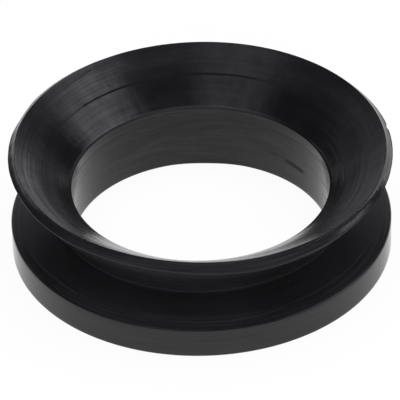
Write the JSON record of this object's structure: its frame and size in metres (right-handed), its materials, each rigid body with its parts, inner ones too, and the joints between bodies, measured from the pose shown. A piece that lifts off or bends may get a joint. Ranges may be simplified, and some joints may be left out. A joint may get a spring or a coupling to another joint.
{
  "type": "v-ring shaft seal",
  "caption": "Black rubber V-ring seal: a flat-backed body with a plain bore that grips a shaft, a V-groove as hinge, and a flared conical lip that wipes a flat counterface.",
  "frame": {"origin": "centre of the flat back face, on the bore's axis", "axes": "+Z along the shaft's axis, from the back towards the lip; X and Y are free, because the ring is round"},
  "size_m": [0.0186, 0.0186, 0.0055],
  "materials": {
    "rubber": "satin black rubber with fine concentric marks"
  },
  "bodies": {
    "root": {"v_ring": "rubber"}
  },
  "joints": []
}
